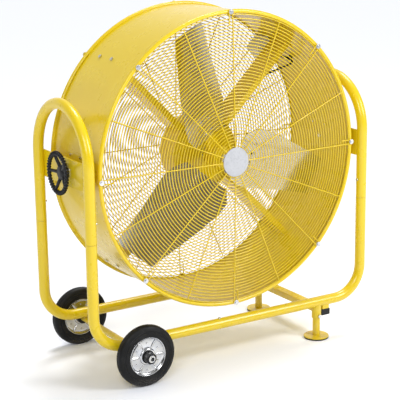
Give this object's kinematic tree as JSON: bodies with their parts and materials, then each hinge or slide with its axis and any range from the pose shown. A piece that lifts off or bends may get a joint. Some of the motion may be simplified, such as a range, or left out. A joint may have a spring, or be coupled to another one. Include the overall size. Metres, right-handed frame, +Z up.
{
  "type": "axial drum fan",
  "caption": "Large drum fan on a wheeled tubular frame: tilting guarded drum, paddle rotor, motor on struts, clamp handwheel, levelling feet.",
  "frame": {"origin": "on the floor, under the middle of the overall width and depth", "axes": "+Z up, -Y is the side with the badge, +X runs from the wheels to the feet"},
  "size_m": [1.234, 0.616, 1.3065],
  "materials": {
    "yellow_paint": "smooth semi-gloss powder coat",
    "bright_steel": "turned, bright",
    "zinc_plate": "zinc plated",
    "black_plastic": "moulded, fine texture",
    "black_rubber": "moulded rubber",
    "tyre_rubber": "solid rubber tyre",
    "cable_sheath": "smooth cable sheath",
    "grey_plastic": "moulded, light grey",
    "badge_grey": "plain light grey disc",
    "blade_aluminium": "pressed sheet, satin",
    "stator_iron": "laminations and windings"
  },
  "bodies": {
    "frame": {"lower_front_tube": "yellow_paint", "lower_rear_tube": "yellow_paint", "left_arch_tube": "yellow_paint", "right_arch_tube": "yellow_paint", "joint_spigots": "bright_steel", "frame_screws": "zinc_plate", "left_side_plate": "yellow_paint", "right_side_plate": "yellow_paint", "cross_member": "yellow_paint", "cross_member_plugs": "black_plastic", "axle_tube": "yellow_paint", "axle_rod": "bright_steel", "axle_retaining_rings": "bright_steel", "foot_sleeves": "yellow_paint", "foot_lock_bolts": "zinc_plate"},
    "drum": {"cable_clip": "black_plastic", "cable_glands": "black_plastic", "drum_shell": "yellow_paint", "front_guard_rings": "yellow_paint", "front_guard_spokes": "yellow_paint", "guard_badge": "badge_grey", "guard_clips": "zinc_plate", "guard_screws": "zinc_plate", "motor_bearings": "bright_steel", "motor_bolts": "zinc_plate", "motor_cable": "cable_sheath", "motor_front_shield": "yellow_paint", "motor_housing": "yellow_paint", "motor_mount_ring": "yellow_paint", "motor_stator": "stator_iron", "motor_struts": "yellow_paint", "pivot_pad_screws": "zinc_plate", "pivot_pads": "yellow_paint", "pivot_studs": "bright_steel", "rear_guard_rings": "yellow_paint", "rear_guard_spokes": "yellow_paint", "right_pivot_nut": "bright_steel", "strut_bolts": "zinc_plate", "switch_box": "grey_plastic", "terminal_box": "grey_plastic", "terminal_box_lid": "grey_plastic"},
    "rotor": {"motor_shaft": "bright_steel", "rotor_hub": "yellow_paint", "blade_1": "blade_aluminium", "blade_2": "blade_aluminium", "blade_3": "blade_aluminium", "blade_bolts": "zinc_plate"},
    "clamp_washer": {"clamp_washer": "bright_steel"},
    "handwheel": {"handwheel": "black_plastic"},
    "switch_knob": {"switch_knob": "black_plastic"},
    "front_wheel": {"front_tyre": "tyre_rubber", "front_rim": "zinc_plate", "front_wheel_hub": "black_plastic"},
    "rear_wheel": {"rear_tyre": "tyre_rubber", "rear_rim": "zinc_plate", "rear_wheel_hub": "black_plastic"},
    "front_foot": {"front_foot_post": "yellow_paint", "front_foot_pad": "black_rubber"},
    "rear_foot": {"rear_foot_post": "yellow_paint", "rear_foot_pad": "black_rubber"}
  },
  "joints": [
    {"name": "drum_tilt", "type": "hinge", "parent": "frame", "child": "drum", "pos_m": [0.005, 0, 0.755], "axis": [1, 0, 0], "range_deg": [-90, 90]},
    {"name": "rotor_spin", "type": "hinge", "parent": "drum", "child": "rotor", "pos_m": [0.005, 0, 0.755], "axis": [0, 1, 0], "continuous": true},
    {"name": "clamp_travel", "type": "slide", "parent": "drum", "child": "clamp_washer", "axis": [-1, 0, 0], "range_m": [0, 0.004]},
    {"name": "handwheel_turn", "type": "hinge", "parent": "clamp_washer", "child": "handwheel", "pos_m": [-0.6, 0, 0.755], "axis": [-1, 0, 0], "range_deg": [0, 720]},
    {"name": "switch_turn", "type": "hinge", "parent": "drum", "child": "switch_knob", "pos_m": [0.50242, 0.11, 1.09052], "axis": [0.829, 0, 0.5592], "range_deg": [0, 120]},
    {"name": "front_wheel_spin", "type": "hinge", "parent": "frame", "child": "front_wheel", "pos_m": [-0.415, -0.258, 0.113], "axis": [0, 1, 0], "continuous": true},
    {"name": "rear_wheel_spin", "type": "hinge", "parent": "frame", "child": "rear_wheel", "pos_m": [-0.415, 0.258, 0.113], "axis": [0, 1, 0], "continuous": true},
    {"name": "front_foot_height", "type": "slide", "parent": "frame", "child": "front_foot", "axis": [0, 0, 1], "range_m": [0, 0.03]},
    {"name": "rear_foot_height", "type": "slide", "parent": "frame", "child": "rear_foot", "axis": [0, 0, 1], "range_m": [0, 0.03]}
  ],
  "couplings": [
    {"joint": "clamp_travel", "follows": "handwheel_turn", "m_per_rad": 0.000318}
  ]
}
